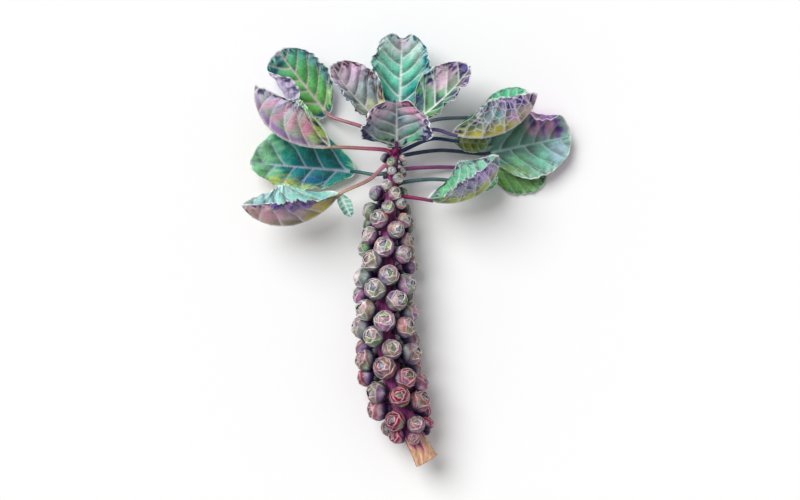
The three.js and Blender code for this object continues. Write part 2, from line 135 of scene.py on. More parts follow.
# the leaves: where each is rooted, how its stalk runs, how its blade bends and cups, and its colours
# inner is the hollow side and under the outer one: at the base, the middle, the tip, the keel and the edge
# a wash gives its place along and across the blade, its length and width there, and its colour
leaves = {
    "leaf_left_upper": {
        "root": (160, 175), "via": (-72, 184, 30), "base": (-124, 203, 12),
        "heading": (-0.62, 0.78, 0.02), "length": 124, "width": 54, "bend": 14,
        "left": (8, 235), "right": (22, 42), "ripple": 1.5, "leftShare": 1.5, "furl": 0.25,
        "inner": [(112, 168, 84), (98, 170, 106), (92, 168, 148), (112, 176, 104), (30, 84, 104)],
        "under": [(160, 156, 186), (196, 186, 214), (204, 192, 220), (180, 170, 206), (60, 60, 118)],
        "innerWash": [(0.5, 0.8, 0.6, 0.2, (116, 156, 166)), (0.12, 0.75, 0.16, 0.35, (190, 214, 160)),
                      (0.97, 0.1, 0.09, 0.7, (170, 206, 196)), (0.85, -0.3, 0.05, 0.4, (16, 66, 92))],
        "vein": (224, 196, 206), "net": 0.12, "seed": 1, "stalk": [(176, 96, 122), (206, 150, 160)],
    },
    "leaf_left_middle": {
        "root": (143, 165), "via": (-70, 150, 60), "base": (-118, 151, 78),
        "heading": (-1, -0.02, 0.03), "face": (-0.02, 1, 0), "length": 168, "width": 64, "bend": 104,
        "bendPower": 1.5, "left": (52, 22), "right": (74, 12), "waves": 3.5, "ripple": 3, "taper": 0.05,
        "inner": [(92, 170, 50), (100, 176, 70), (130, 176, 140), (100, 170, 70), (190, 214, 200)],
        "under": [(150, 170, 70), (164, 178, 178), (184, 174, 204), (150, 176, 122), (26, 26, 80)],
        "underWash": [(0.25, -0.55, 0.09, 0.35, (200, 134, 160)), (0.42, -0.6, 0.07, 0.4, (214, 164, 182)),
                      (0.6, -0.55, 0.06, 0.45, (204, 156, 178)), (0.78, -0.5, 0.05, 0.45, (212, 170, 192)),
                      (0.5, -0.1, 0.5, 0.1, (150, 116, 170))],
        "vein": (246, 228, 234), "seed": 2, "stalk": [(186, 84, 124), (190, 176, 140)],
    },
    "leaf_left_lower": {
        "root": (108, 198), "via": (-55, 112, 27), "base": (-82, 117, 13),
        "heading": (-0.99, 0.08, -0.02), "length": 163, "width": 64, "bend": 24,
        "left": (2, 60), "right": (4, 30), "ripple": 3, "leftShare": 0.6,
        # the inner side takes the dark teal that the leaf's underside shows in shade: partly the leaf's own
        # colour, partly painted shade
        "inner": [(20, 146, 130), (8, 122, 118), (24, 138, 116), (10, 112, 124), (140, 204, 156)],
        "under": [(90, 156, 120), (140, 190, 146), (186, 176, 60), (150, 186, 130), (80, 140, 110)],
        "innerWash": [(1.02, 0.1, 0.36, 2.2, (150, 204, 160)), (0.66, -1.0, 0.36, 0.6, (172, 174, 84)),
                      (0.9, -0.6, 0.1, 0.3, (120, 180, 110)), (0.97, 0.5, 0.05, 0.3, (40, 130, 120)),
                      (0.4, -0.5, 0.18, 0.25, (20, 90, 130)),
                      (0.98, 0.7, 0.1, 0.4, (190, 206, 194))],
        "vein": (190, 200, 220), "seed": 3, "stalk": [(96, 130, 124), (24, 106, 106)],
    },
    "leaf_left_bottom": {
        "root": (121, 150), "via": (-60, 104, 57), "base": (-105, 82, 61),
        "heading": (-0.64, -0.77, 0), "face": (-0.66, 0.7, 0.36), "length": 176, "width": 62, "bend": 105,
        "left": (42, 18), "right": (60, 20), "waves": 4, "ripple": 2.5,
        "inner": [(140, 200, 186), (166, 214, 206), (170, 208, 210), (150, 196, 190), (206, 232, 228)],
        "under": [(190, 180, 50), (180, 156, 180), (210, 170, 180), (170, 160, 120), (54, 42, 116)],
        "underWash": [(0.75, -0.35, 0.14, 0.25, (208, 160, 176)), (0.25, -0.1, 0.22, 0.2, (182, 176, 84)),
                      (0.5, -0.1, 0.18, 0.16, (130, 120, 100)), (0.4, -0.8, 0.45, 0.2, (96, 76, 150)),
                      (0.75, -0.85, 0.08, 0.2, (44, 40, 116))],
        "vein": (244, 236, 242), "net": 0.14, "seed": 4, "stalk": [(190, 122, 142), (180, 170, 120)],
        "lobe": {
            "base": (-106, 84, 60), "heading": (0.45, -1, 0.1), "face": (0.2, 0.1, 1), "length": 42,
            "width": 11, "bend": 20, "left": (10, 20), "right": (10, 20), "waves": 1, "ripple": 1,
            "inner": [(70, 136, 120), (120, 176, 156), (60, 130, 116), (120, 180, 160), (30, 70, 84)],
            "vein": (220, 230, 226), "seed": 5,
        },
    },
    "leaf_crown_left": {
        "root": (166, 140), "via": (-38, 179, 58), "base": (-40, 186, 62),
        "heading": (-0.76, 0.62, 0.05), "face": (0.35, 0.6, 0.7), "length": 120, "width": 50, "bend": 30,
        "left": (20, 30), "right": (20, 50), "ripple": 3,
        "dark": 0.6,
        "inner": [(222, 206, 20), (142, 158, 166), (212, 180, 208), (156, 172, 160), (76, 18, 50)],
        "under": [(60, 130, 120), (80, 140, 150), (110, 150, 170), (80, 130, 130), (40, 60, 110)],
        "innerWash": [(0.5, -0.85, 0.4, 0.2, (110, 160, 190)), (0.42, -0.75, 0.1, 0.12, (24, 40, 96)),
                      (0.16, -0.6, 0.1, 0.2, (40, 60, 90)), (0.45, -0.25, 0.1, 0.16, (110, 140, 120)),
                      (0.4, 0.7, 0.2, 0.12, (60, 80, 70))],
        "vein": (240, 228, 236), "net": 0.14, "seed": 6, "stalk": [(150, 70, 110), (196, 190, 90)],
    },
    "leaf_crown_top": {
        "dark": 0.66,
        "root": (162, 268), "via": (-17, 186, 33), "base": (-16, 208, 33),
        "heading": (0.04, 1, 0.04), "length": 122, "width": 50, "bend": 14,
        "left": (8, 40), "right": (8, 40), "ripple": 2.5, "notch": 0.1,
        "inner": [(10, 60, 100), (110, 186, 160), (180, 196, 190), (120, 190, 170), (30, 90, 110)],
        "under": [(50, 100, 110), (90, 160, 150), (140, 170, 180), (110, 160, 150), (60, 110, 130)],
        "innerWash": [(0.9, 0.0, 0.2, 0.35, (206, 186, 204)), (0.5, 0.85, 0.4, 0.22, (70, 150, 160)),
                      (0.3, -0.6, 0.16, 0.2, (60, 160, 130)), (0.3, 0.4, 0.14, 0.2, (50, 150, 140)),
                      (0.95, -0.75, 0.08, 0.14, (20, 50, 84)), (0.95, 0.75, 0.06, 0.14, (40, 50, 90))],
        "vein": (238, 244, 242), "net": 0.12, "seed": 7, "stalk": [(120, 60, 110), (70, 80, 140)],
    },
    "leaf_crown_right": {
        "root": (166, 40), "via": (-3, 179, 58), "base": (2, 186, 62),
        "heading": (0.79, 0.56, 0.05), "face": (-0.35, 0.6, 0.7), "length": 126, "width": 49, "bend": 26,
        "left": (20, 50), "right": (20, 30), "ripple": 3,
        "dark": 0.5,
        "inner": [(110, 170, 60), (92, 146, 118), (172, 140, 164), (100, 150, 104), (30, 28, 92)],
        "under": [(80, 150, 80), (60, 110, 120), (50, 56, 120), (80, 120, 100), (30, 34, 92)],
        "innerWash": [(0.35, 0.7, 0.2, 0.25, (120, 166, 44)), (0.62, 0.45, 0.09, 0.26, (34, 36, 104)),
                      (0.42, 0.0, 0.09, 0.35, (24, 62, 78)), (0.85, 0.65, 0.1, 0.24, (50, 40, 110)),
                      (0.62, -0.5, 0.2, 0.35, (202, 174, 190)), (0.95, -0.2, 0.08, 0.4, (62, 44, 120)),
                      (0.25, -0.5, 0.08, 0.3, (40, 70, 96))],
        "vein": (236, 240, 236), "net": 0.14, "seed": 8, "stalk": [(150, 70, 110), (130, 180, 80)],
    },
    "leaf_crown_front": {
        "root": (144, 90), "via": (-20, 150, 57), "base": (-20, 153, 62),
        "heading": (0, 0.85, 0.53), "face": (0, -0.53, 0.85), "length": 98, "width": 69, "bend": 20,
        "left": (30, 25), "right": (30, 25), "ripple": 2, "taper": 0.55, "notch": 0.2,
        "dark": 0.55,
        "inner": [(130, 190, 110), (160, 170, 184), (214, 176, 200), (140, 158, 160), (36, 24, 76)],
        "under": [(100, 160, 100), (90, 140, 120), (110, 100, 140), (110, 150, 110), (60, 40, 90)],
        "innerWash": [(0.8, 0.35, 0.16, 0.3, (214, 158, 182)), (0.3, 0.5, 0.3, 0.25, (96, 170, 136)),
                      (0.35, -0.3, 0.2, 0.25, (120, 140, 130)), (0.4, -0.9, 0.45, 0.2, (40, 44, 96)),
                      (0.93, 0.45, 0.08, 0.4, (84, 16, 50)), (0.93, -0.5, 0.06, 0.3, (44, 40, 96)),
                      (0.55, 0.05, 0.12, 0.14, (70, 110, 120)), (0.6, 0.9, 0.3, 0.12, (60, 60, 110)),
                      (0.75, -0.45, 0.15, 0.3, (206, 186, 204))],
        "vein": (246, 238, 242), "net": 0.12, "seed": 9, "stalk": [(160, 50, 110), (130, 60, 120)],
    },
    "leaf_right_rear": {
        "root": (162, 335), "via": (33, 194, 24), "base": (104, 201, 8),
        "heading": (0.88, 0.44, 0), "face": (-0.1, 0.2, 1), "length": 84, "width": 22, "bend": 5,
        "left": (2, 10), "right": (2, 10), "waves": 2, "ripple": 2,
        "inner": [(60, 140, 96), (90, 186, 136), (110, 200, 156), (70, 160, 116), (16, 84, 76)],
        "under": [(60, 130, 90), (90, 176, 130), (110, 190, 150), (70, 150, 110), (16, 84, 76)],
        "vein": (216, 236, 224), "seed": 10, "stalk": [(160, 176, 190), (90, 126, 140)],
    },
    "leaf_right_upper": {
        "root": (154, 20), "via": (33, 178, 62), "base": (62, 170, 76),
        "heading": (0.97, -0.22, 0), "face": (0.18, 0.95, 0.1), "length": 158, "width": 58, "bend": 88,
        "left": (56, 20), "right": (56, 20), "waves": 3.5, "ripple": 3, "taper": 0.2,
        "inner": [(84, 158, 116), (104, 182, 150), (124, 194, 168), (92, 168, 130), (56, 150, 130)],
        "under": [(130, 160, 118), (136, 152, 162), (172, 138, 196), (172, 170, 74), (36, 30, 104)],
        "underWash": [(0.35, 0.1, 0.4, 0.2, (168, 162, 84)), (0.5, 0.55, 0.07, 0.16, (110, 170, 164)),
                      (0.7, 0.6, 0.06, 0.2, (50, 40, 120)), (0.85, 0.5, 0.07, 0.25, (60, 40, 130)),
                      (0.95, 0.4, 0.06, 0.4, (206, 160, 196)), (0.65, 0.25, 0.06, 0.16, (190, 140, 190)),
                      (0.25, 0.6, 0.08, 0.2, (40, 60, 90))],
        "vein": (234, 226, 238), "net": 0.7, "seed": 11, "stalk": [(126, 112, 168), (110, 90, 150)],
    },
    "leaf_right_middle": {
        "root": (146, 340), "via": (33, 166, 34), "base": (66, 163, 33),
        "heading": (0.97, -0.1, -0.03), "face": (0, 0.1, 1), "length": 52, "width": 16, "bend": 4,
        "left": (5, 10), "right": (5, 10), "waves": 2, "ripple": 1.5,
        "inner": [(30, 80, 96), (120, 136, 60), (90, 140, 80), (120, 140, 60), (50, 80, 76)],
        "vein": (190, 196, 160), "net": 0.12, "seed": 12, "stalk": [(60, 76, 124), (50, 80, 120)],
    },
    "leaf_right_large": {
        "root": (138, 345), "via": (45, 149, 26), "base": (114, 144, 16),
        "heading": (0.97, 0.2, -0.02), "length": 134, "width": 54, "bend": 6,
        "left": (4, 290), "right": (4, 22), "ripple": 1.2, "leftShare": 1.6, "furl": 1.4,
        "inner": [(84, 118, 112), (118, 160, 140), (142, 176, 182), (90, 128, 122), (160, 196, 176)],
        "under": [(150, 90, 140), (206, 138, 182), (142, 92, 160), (214, 160, 196), (72, 46, 132)],
        "innerWash": [(0.28, 0.8, 0.2, 0.3, (124, 164, 90)), (0.35, 0.4, 0.14, 0.2, (130, 196, 150)),
                      (0.62, 0.5, 0.12, 0.3, (120, 186, 160)), (0.85, 0.4, 0.14, 0.35, (170, 194, 206)),
                      (0.74, -0.38, 0.26, 0.34, (216, 160, 194)), (0.88, -0.3, 0.06, 0.36, (96, 56, 150)),
                      (0.7, -0.3, 0.035, 0.3, (120, 80, 160)),
                      (0.6, -0.45, 0.05, 0.2, (60, 44, 120)), (0.4, -0.4, 0.14, 0.25, (90, 134, 110))],
        "vein": (176, 206, 200), "seed": 13, "stalk": [(56, 66, 92), (60, 84, 108)],
    },
    "leaf_right_rear_lower": {
        "root": (117, 325), "via": (50, 124, 14), "base": (118, 121, 2.5),
        "heading": (0.98, -0.14, 0), "length": 92, "width": 32, "bend": 4,
        "left": (2, 6), "right": (0, 4), "waves": 2, "ripple": 1.5,
        "inner": [(110, 150, 70), (104, 156, 90), (120, 166, 110), (100, 150, 84), (50, 116, 86)],
        "under": [(84, 130, 60), (78, 134, 76), (96, 146, 96), (80, 130, 70), (50, 106, 76)],
        "vein": (150, 186, 140), "seed": 14, "stalk": [(170, 96, 150), (96, 76, 140)],
    },
    "leaf_right_small": {
        "root": (97, 345), "via": (30, 105, 30), "base": (84, 102, 25),
        "heading": (0.98, 0.1, -0.05), "length": 50, "width": 19, "bend": 10,
        "left": (6, 20), "right": (6, 20), "waves": 2, "ripple": 1.5,
        "inner": [(90, 160, 100), (100, 186, 130), (120, 196, 150), (96, 170, 120), (50, 120, 96)],
        "vein": (206, 232, 214), "seed": 15, "stalk": [(76, 110, 120), (110, 140, 130)],
    },
    "leaf_right_bottom": {
        "root": (76, 25), "via": (0, 77, 55), "base": (26, 73, 58),
        "heading": (0.97, -0.22, 0), "face": (0.25, 0.95, 0.36), "length": 152, "width": 58, "bend": 108,
        "left": (62, 18), "right": (38, 18), "waves": 4, "ripple": 2.5,
        "inner": [(92, 172, 116), (120, 190, 156), (146, 202, 180), (112, 184, 140), (84, 40, 116)],
        "under": [(130, 186, 106), (150, 152, 178), (164, 140, 202), (168, 186, 74), (46, 30, 110)],
        "underWash": [(0.35, 0.1, 0.4, 0.22, (164, 184, 84)), (0.08, 0.4, 0.09, 0.5, (90, 160, 96)),
                      (0.5, 0.6, 0.06, 0.2, (50, 46, 100)), (0.68, 0.7, 0.07, 0.2, (70, 50, 130)),
                      (0.85, 0.5, 0.08, 0.4, (176, 150, 206)), (0.92, 0.2, 0.06, 0.2, (120, 176, 170)),
                      (0.3, 0.6, 0.06, 0.18, (60, 90, 90))],
        "vein": (236, 230, 240), "net": 0.6, "seed": 16, "stalk": [(164, 24, 92), (150, 70, 120)],
    },
}
blade = {
    "columns": 80, "rows": 90, "thickness": 1.0, "rib": 1.5, "ruffle": 1.6, "pucker": 1.7, "scallop": 0.014,
    "veinStep": 0.19, "forkAt": 0.4, "keel": 0.06, "veinWidth": 1.0, "midribWidth": 2.1, "curlSteps": 8,
    "midribSteps": 24, "taper": 0.36, "bendPower": 1.3, "curlPower": 1.6, "dark": 0.7, "vivid": 1.22,
    "face": (0, 0, 1), "waves": 3, "net": 0.1, "fullWidth": 44, "lobeGrid": (20, 30),
    "veinRise": 0.5, "veinBend": 0.008, "veinStray": 1.8, "veinDrift": 2.4,
}
stalkRod = {"root": 4, "end": 2.4, "sides": 20, "rings": 60, "clear": 4.9, "magenta": paint(120, 30, 84)}


def pathPoint(points, t):
    # a centripetal curve through the points, t from 0 to 1
    spans = len(points) - 1
    k = min(int(t * spans), spans - 1)
    share = t * spans - k
    p1, p2 = points[k], points[k + 1]
    p0 = points[k - 1] if k > 0 else 2 * p1 - p2
    p3 = points[k + 2] if k + 2 <= spans else 2 * p2 - p1
    d0, d1, d2 = (float(np.sum((b - a) ** 2)) ** 0.25 for a, b in ((p0, p1), (p1, p2), (p2, p3)))
    if d1 < 1e-4:
        d1 = 1
    d0 = d1 if d0 < 1e-4 else d0
    d2 = d1 if d2 < 1e-4 else d2
    m1 = ((p1 - p0) / d0 - (p2 - p0) / (d0 + d1) + (p2 - p1) / d1) * d1
    m2 = ((p2 - p1) / d1 - (p3 - p1) / (d1 + d2) + (p3 - p2) / d2) * d1
    square = 3 * (p2 - p1) - 2 * m1 - m2
    cube = 2 * (p1 - p2) + m1 + m2
    return p1 + m1 * share + square * share ** 2 + cube * share ** 3


def stalkPoints(leaf):
    height, turn = leaf["root"]
    up = axisFrame(height)[0]
    away = outward(height, math.radians(turn))
    start = axisPoint(height) + away * (along(stem["radii"], height) + stem["gap"])
    clear = start + away * 6 + up * 3
    base = np.array(leaf["base"], float)
    inside = base + unit(np.array(leaf["heading"], float)) * 9
    return [start, clear, np.array(leaf["via"], float), base, inside]


# the sprouts' places, wound up the stem in a golden-angle spiral and pressed against their neighbours
sprouts = {
    "count": 94, "large": 70, "start": -288, "phase": 5.55, "tilt": 0.3, "pitch": 0.163, "topPitch": 0.2,
    "press": 0.88, "seed": 7, "clear": 1, "stray": 0.3, "topTurn": 0.35, "smallest": 3,
    "radii": [(-288, 9), (-272, 12.5), (-240, 16), (-200, 17.5), (-140, 16.5), (-20, 15.2), (50, 13.5),
              (90, 11.2), (115, 9.2), (140, 7.2), (152, 6)],
    "reach": [(-288, 24), (-272, 27), (-240, 31.5), (-200, 35), (-140, 34), (-20, 32), (50, 26.5), (90, 20),
              (115, 17), (152, 12.5)],
    "pair": (5, 10), "smallPair": (3, 9), "turns": 30, "pushTurns": 16, "push": 0.2, "stemX": (-80, 20),
}


def sproutPlaces():
    places = []
    y = sprouts["start"]
    for i in range(sprouts["count"]):
        small = i >= sprouts["large"]
        first = sprouts["large"] if small else 0
        step, block = sprouts["smallPair"] if small else sprouts["pair"]
        group = first + (i - first) // block * block + (i - first) % step
        radius = along(sprouts["radii"], y) * (0.9 + 0.2 * chance(i, 2))
        reach = along(sprouts["reach"], y) + 3 * (chance(i, 3) - 0.5)
        angle = sprouts["phase"] + (sprouts["topTurn"] if small else 0) + i * goldenAngle
        away = outward(y, angle + sprouts["stray"] * (chance(i, 1) - 0.5))
        places.append({"i": i, "group": group, "step": step, "small": small, "radius": radius,
                       "reach": reach, "centre": axisPoint(y) + away * reach})
        y += (sprouts["topPitch"] if small else sprouts["pitch"]) * along(sprouts["reach"], y)
    rods = []
    for leaf in leaves.values():
        points = stalkPoints(leaf)
        rods += [pathPoint(points, k / 30) for k in range(31)]
    rods = np.array([p for p in rods if sprouts["stemX"][0] < p[0] < sprouts["stemX"][1]])

    def makeRoom(a, middle, radius, turn):
        between = a["centre"] - middle
        far = np.linalg.norm(between)
        short = a["radius"] + radius + sprouts["clear"] - far
        if short <= 0:
            return
        if turn < sprouts["pushTurns"]:
            a["centre"] = a["centre"] + between / far * sprouts["push"] * short
        else:
            a["radius"] = max(sprouts["smallest"], a["radius"] - 0.5 * short)

    for turn in range(sprouts["turns"]):
        for a in places:
            centres = np.array([p["centre"] for p in places])
            near = np.linalg.norm(centres - a["centre"], axis=1) < 60
            for k in np.nonzero(near)[0]:
                if places[k]["group"] != a["group"]:
                    makeRoom(a, places[k]["centre"], places[k]["radius"], turn)
            for p in rods[np.linalg.norm(rods - a["centre"], axis=1) < a["radius"] + 20]:
                makeRoom(a, p, stalkRod["clear"], turn)
            y = heightOf(a["centre"])
            away = unit(a["centre"] - axisPoint(y))
            a["centre"] = axisPoint(y) + away * a["reach"]
            a["points"] = away * math.cos(sprouts["tilt"]) + axisFrame(y)[0] * math.sin(sprouts["tilt"])
            k = a["i"] + a["step"]
            if k < len(places) and places[k]["group"] == a["group"]:
                b = places[k]
                between = b["centre"] - a["centre"]
                far = np.linalg.norm(between)
                spare = (far - sprouts["press"] * (a["radius"] + b["radius"])) / 2
                a["centre"] = a["centre"] + between / far * spare
                b["centre"] = b["centre"] - between / far * spare
    return places


# a thin closed sheet: a grid, pulled out to a second skin, and both moved by one rule
def closedSheet(bm, tint, uvMap, columns, rows, rule):
    grid = bmesh.ops.create_grid(bm, x_segments=columns, y_segments=rows, size=1)["verts"]
    faces = list({f for v in grid for f in v.link_faces})
    skin = bmesh.ops.extrude_face_region(bm, geom=faces, use_keep_orig=True)["geom"]
    back = [g for g in skin if isinstance(g, bmesh.types.BMVert)]
    everything = list({f for v in grid + back for f in v.link_faces})
    for verts, depth in ((grid, 0), (back, 1)):
        flat = np.array([v.co[:2] for v in verts])
        places, colours, uvs = rule((flat[:, 1] + 1) / 2, flat[:, 0], depth)
        for v, place, colour, uv in zip(verts, places, colours, uvs):
            v.co = place
            v[tint] = colour
            for loop in v.link_loops:
                loop[uvMap].uv = uv
    bmesh.ops.recalc_face_normals(bm, faces=everything)


# a closed tapering rod along a path, with its own rule for thickness and colour
def closedRod(sides, rings, path, thickness, colour, reach):
    bm, tint, uvMap = emptyMesh()
    bmesh.ops.create_cone(bm, cap_ends=True, segments=sides, radius1=1, radius2=1, depth=2)
    upright = [e for e in bm.edges if abs(e.verts[0].co.z - e.verts[1].co.z) > 1]
    bmesh.ops.subdivide_edges(bm, edges=upright, cuts=rings - 1, use_grid_fill=True)
    steps = np.linspace(0, 1, rings + 1)
    line = np.array([path(t) for t in steps])
    ahead = np.gradient(line, axis=0)
    ahead /= np.linalg.norm(ahead, axis=1)[:, None]
    sideways = [unit(np.cross(ahead[0], [0, 0, 1]))]
    for k in range(1, rings + 1):
        sideways.append(unit(sideways[-1] - ahead[k] * (sideways[-1] @ ahead[k])))
    sideways = np.array(sideways)
    upward = np.cross(sideways, ahead)
    for v in bm.verts:
        k = int(round((v.co.z + 1) / 2 * rings))
        angle = math.atan2(v.co.y, v.co.x)
        size = thickness(steps[k], angle)
        spoke = sideways[k] * (math.cos(angle) * size) + upward[k] * (math.sin(angle) * size)
        v.co = metres(line[k] + spoke)
        v[tint] = colour(steps[k], angle)
        for loop in v.link_loops:
            loop[uvMap].uv = (angle * 0.01, steps[k] * reach * 0.01)
    bmesh.ops.recalc_face_normals(bm, faces=bm.faces[:])
    return bm


def joinTo(bm, other):
    mesh = bpy.data.meshes.new("part")
    other.to_mesh(mesh)
    other.free()
    bm.from_mesh(mesh)
    bpy.data.meshes.remove(mesh)


def addObject(name, data):
    thing = bpy.data.objects.new(name, data)
    bpy.context.scene.collection.objects.link(thing)
    return thing


def newPiece(name, bm, *nodes):
    mesh = bpy.data.meshes.new(name)
    bm.to_mesh(mesh)
    bm.free()
    mesh.polygons.foreach_set("use_smooth", [True] * len(mesh.polygons))
    piece = addObject(name, mesh)
    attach(piece, "root")
    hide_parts(*nodes)
    return piece


def emptyMesh():
    bm = bmesh.new()
    return bm, bm.verts.layers.float_color.new("tint"), bm.loops.layers.uv.new("UVMap")


# materials: each reads the painted tint and breaks it up with its own washes, grain and bumps
def nodeSet(name):
    material = bpy.data.materials.new(name)
    material.use_nodes = True
    nodes, links = material.node_tree.nodes, material.node_tree.links
    place = nodes.new("ShaderNodeTexCoord").outputs
    tint = nodes.new("ShaderNodeAttribute")
    tint.attribute_name = "tint"
    return material, nodes, links, nodes["Principled BSDF"].inputs, place, tint.outputs


def mixNode(nodes, links, kind, share, a, b):
    node = nodes.new("ShaderNodeMix")
    node.data_type = "RGBA"
    node.blend_type = kind
    for socket, value in ((node.inputs["Factor"], share), (node.inputs["A"], a), (node.inputs["B"], b)):
        if isinstance(value, bpy.types.NodeSocket):
            links.new(value, socket)
        else:
            socket.default_value = value
    return node.outputs["Result"]


def rampNode(nodes, links, value, stops):
    node = nodes.new("ShaderNodeValToRGB")
    links.new(value, node.inputs["Fac"])
    while len(node.color_ramp.elements) < len(stops):
        node.color_ramp.elements.new(0.5)
    for element, (place, shade) in zip(node.color_ramp.elements, stops):
        element.position = place
        element.color = (*shade, 1) if isinstance(shade, (tuple, np.ndarray)) else (shade, shade, shade, 1)
    return node.outputs["Color"]


def noiseNode(nodes, links, vector, scale, detail):
    node = nodes.new("ShaderNodeTexNoise")
    links.new(vector, node.inputs["Vector"])
    node.inputs["Scale"].default_value = scale
    node.inputs["Detail"].default_value = detail
    return node.outputs["Fac"]


def shaded(nodes, links, share, colour, value, stops):
    return mixNode(nodes, links, "MULTIPLY", share, colour, rampNode(nodes, links, value, stops))


def bumpNode(nodes, links, height, strength, distance):
    node = nodes.new("ShaderNodeBump")
    node.inputs["Strength"].default_value = strength
    node.inputs["Distance"].default_value = distance
    links.new(height, node.inputs["Height"])
    return node


def leafSkin():
    material, nodes, links, shader, place, tint = nodeSet("leafSkin")
    wash = noiseNode(nodes, links, place["Object"], 42, 5)
    speckle = noiseNode(nodes, links, place["Object"], 420, 4)
    colour = shaded(nodes, links, 1.0, tint["Color"], wash, [(0.3, 0.72), (0.55, 1.0), (0.75, 1.22)])
    colour = shaded(nodes, links, 0.55, colour, speckle, [(0.3, 0.8), (0.7, 1.15)])
    # a net of cells, as strong as the tint's alpha says
    cells = nodes.new("ShaderNodeTexVoronoi")
    cells.feature = "DISTANCE_TO_EDGE"
    cells.inputs["Scale"].default_value = 7.5
    cells.inputs["Randomness"].default_value = 0.85
    links.new(place["UV"], cells.inputs["Vector"])
    net = rampNode(nodes, links, cells.outputs["Distance"], [(0.0, 1.0), (0.035, 0.7), (0.09, 0.0)])
    strength = nodes.new("ShaderNodeMath")
    strength.operation = "MULTIPLY"
    links.new(net, strength.inputs[0])
    links.new(tint["Alpha"], strength.inputs[1])
    colour = mixNode(nodes, links, "MIX", strength.outputs[0], colour, (0.78, 0.76, 0.8, 1))
    links.new(colour, shader["Base Color"])
    links.new(rampNode(nodes, links, wash, [(0.3, 0.62), (0.7, 0.42)]), shader["Roughness"])
    shader["Specular IOR Level"].default_value = 0.35
    bump = bumpNode(nodes, links, speckle, 0.35, 0.0008)
    ridges = bumpNode(nodes, links, net, 0.5, 0.0008)
    links.new(bump.outputs["Normal"], ridges.inputs["Normal"])
    links.new(ridges.outputs["Normal"], shader["Normal"])
    return material


def sproutSkin():
    material, nodes, links, shader, place, tint = nodeSet("sproutSkin")
    wash = noiseNode(nodes, links, place["Object"], 95, 4)
    fine = noiseNode(nodes, links, place["Object"], 700, 3)
    hues = [(0.34, (0.5, 0.45, 0.72)), (0.45, (0.9, 0.96, 0.86)), (0.55, (1.08, 0.98, 1.08)),
            (0.67, (1.5, 1.52, 1.5))]
    colour = shaded(nodes, links, 1.0, tint["Color"], wash, hues)
    colour = shaded(nodes, links, 0.8, colour, fine, [(0.35, 0.86), (0.65, 1.1)])
    links.new(colour, shader["Base Color"])
    links.new(rampNode(nodes, links, wash, [(0.3, 0.58), (0.7, 0.4)]), shader["Roughness"])
    shader["Specular IOR Level"].default_value = 0.4
    links.new(bumpNode(nodes, links, fine, 0.3, 0.0005).outputs["Normal"], shader["Normal"])
    return material


def stemBark():
    material, nodes, links, shader, place, tint = nodeSet("stemBark")
    stretch = nodes.new("ShaderNodeMapping")
    stretch.inputs["Scale"].default_value = (1, 0.12, 1)
    links.new(place["Object"], stretch.inputs["Vector"])
    streaks = noiseNode(nodes, links, stretch.outputs["Vector"], 420, 5)
    blotch = noiseNode(nodes, links, place["Object"], 70, 4)
    colour = shaded(nodes, links, 1.0, tint["Color"], streaks, [(0.3, 0.6), (0.5, 1.0), (0.7, 1.35)])
    colour = shaded(nodes, links, 0.8, colour, blotch, [(0.3, 0.7), (0.7, 1.2)])
    links.new(colour, shader["Base Color"])
    links.new(rampNode(nodes, links, streaks, [(0.3, 0.75), (0.7, 0.5)]), shader["Roughness"])
    links.new(bumpNode(nodes, links, streaks, 0.5, 0.001).outputs["Normal"], shader["Normal"])
    return material


leafMaterial, sproutMaterial, stemMaterial = leafSkin(), sproutSkin(), stemBark()
print("materials made")


# a blade's outline: how far along the midrib and out from it, for arrays of a along and b across
def bladeReach(leaf, a, b):
    end = 2 * a - 1
    rim = np.maximum(np.abs(b), np.abs(end))
    turn = np.arctan2(b, end)
    scallop = np.sin(19 * turn + 2.5 * np.sin(3 * turn + leaf["seed"]))
    scallop = scallop * (0.65 + 0.35 * np.sin(5 * turn + leaf["seed"]))
    scallop = blade["scallop"] * rim ** 8 * scallop
    dent = leaf.get("notch", 0) * np.exp(-((b / 0.3) ** 2)) * np.clip(end, 0, 1) ** 4
    reach = (0.5 + 0.5 * end * np.sqrt(1 - 0.5 * b * b)) * (1 - dent) + 0.5 * scallop * (end > 0)
    narrowing = np.where(end < 0, leaf.get("taper", blade["taper"]), 0.05)
    spread = np.abs(b) * np.sqrt(1 - 0.5 * end * end) * (1 - narrowing * end * end) * (1 + scallop)
    return end, rim, reach, spread


